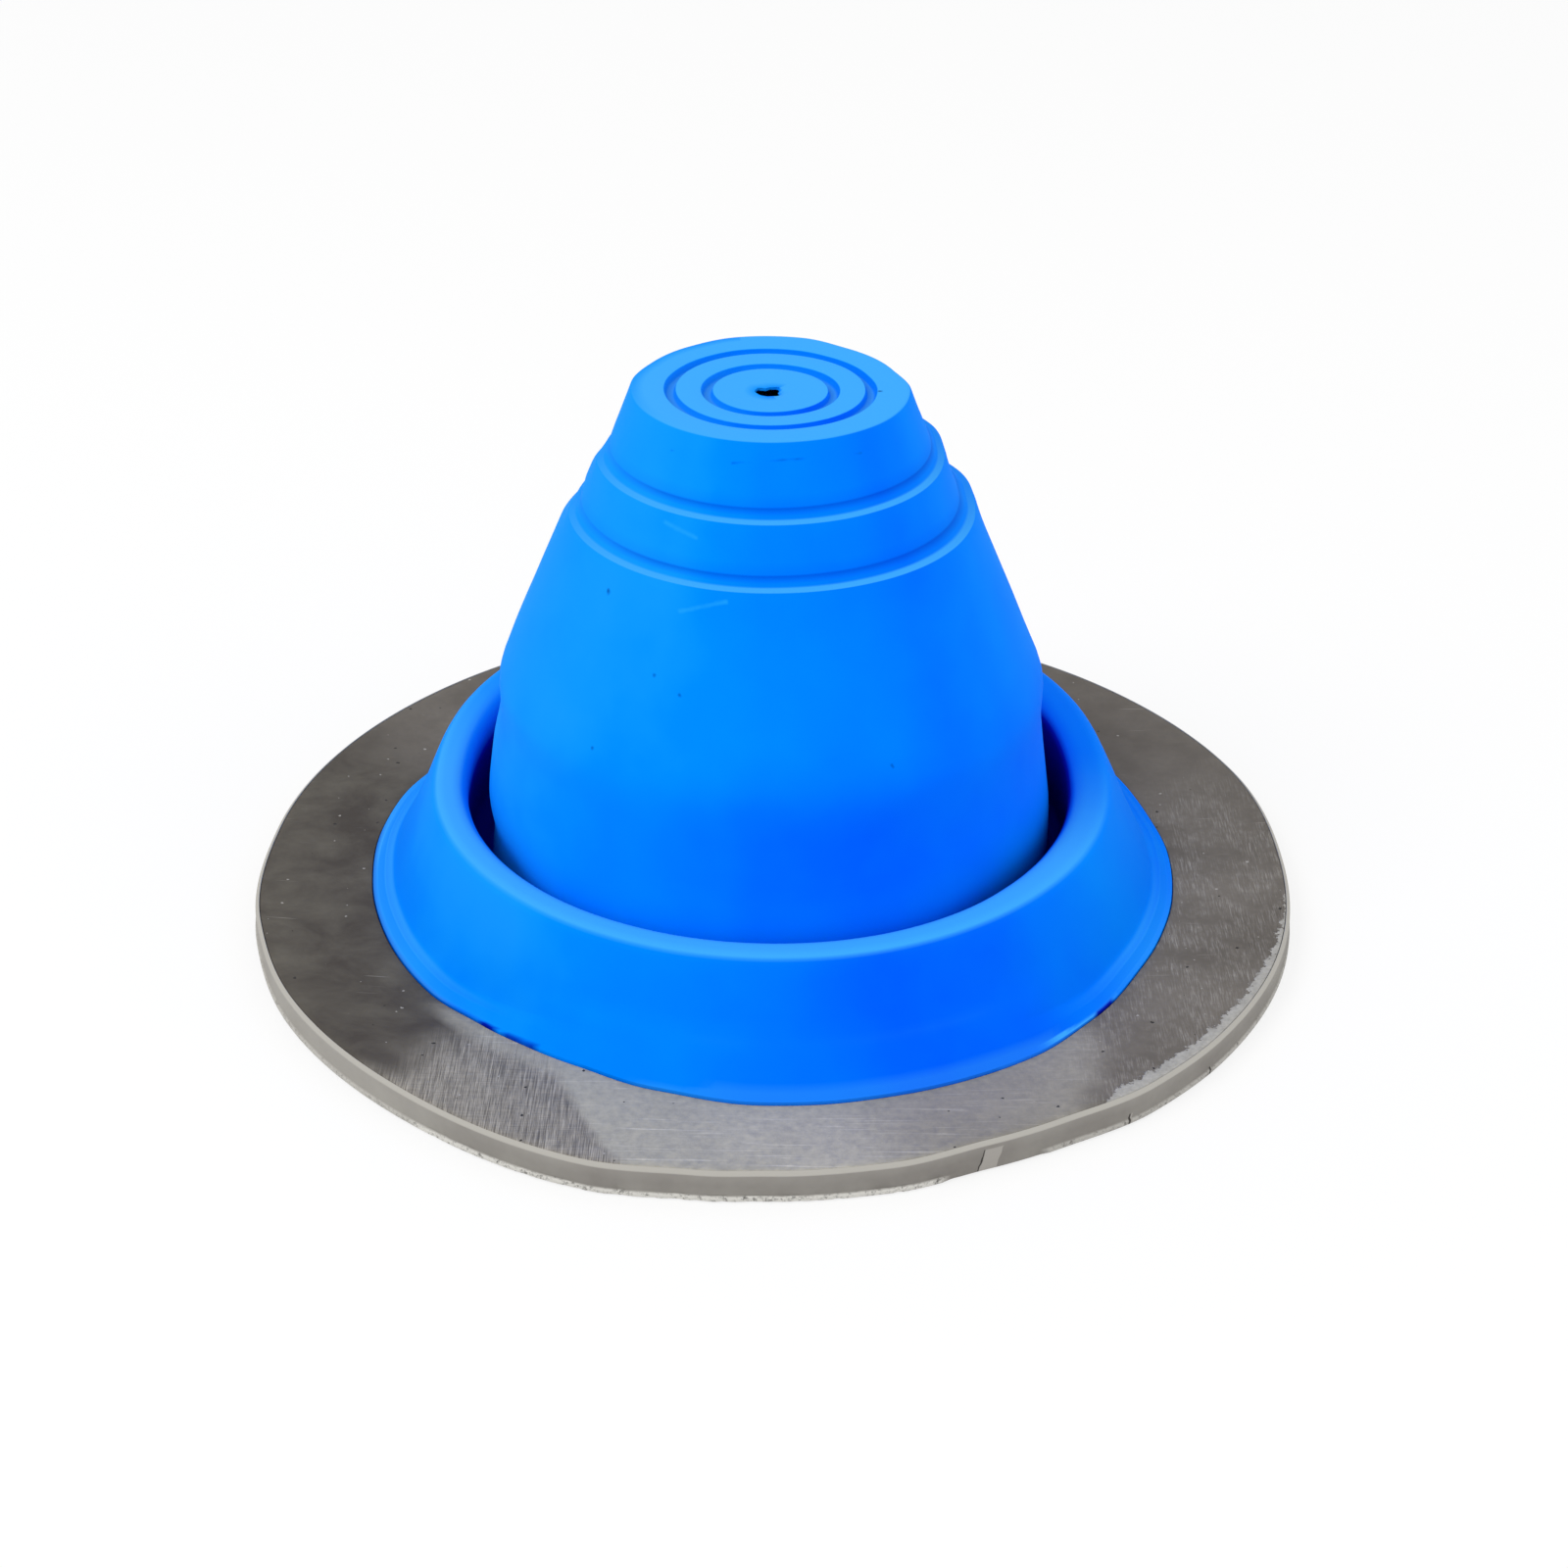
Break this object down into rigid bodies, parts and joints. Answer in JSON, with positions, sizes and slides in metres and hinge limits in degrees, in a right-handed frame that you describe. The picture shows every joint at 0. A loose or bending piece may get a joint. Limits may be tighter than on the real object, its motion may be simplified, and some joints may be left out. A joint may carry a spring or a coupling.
{
  "type": "pipe flashing boot",
  "caption": "Stepped conical roof boot of moulded silicone with a folded collar, held by a dished aluminium ring on a ribbed rubber seal.",
  "frame": {"origin": "on the pipe's axis, in the roof plane that the seal rests on", "axes": "+Z along the pipe's axis, out of the roof; X and Y in the roof plane"},
  "size_m": [0.197, 0.197, 0.1018],
  "materials": {
    "blue_silicone": "moulded silicone rubber, satin",
    "soft_aluminium": "mill finish, scuffed and stained",
    "grey_rubber": "moulded rubber, matt"
  },
  "bodies": {
    "root": {"rubber_boot": "blue_silicone", "flange_ring": "soft_aluminium", "base_seal": "grey_rubber"}
  },
  "joints": []
}
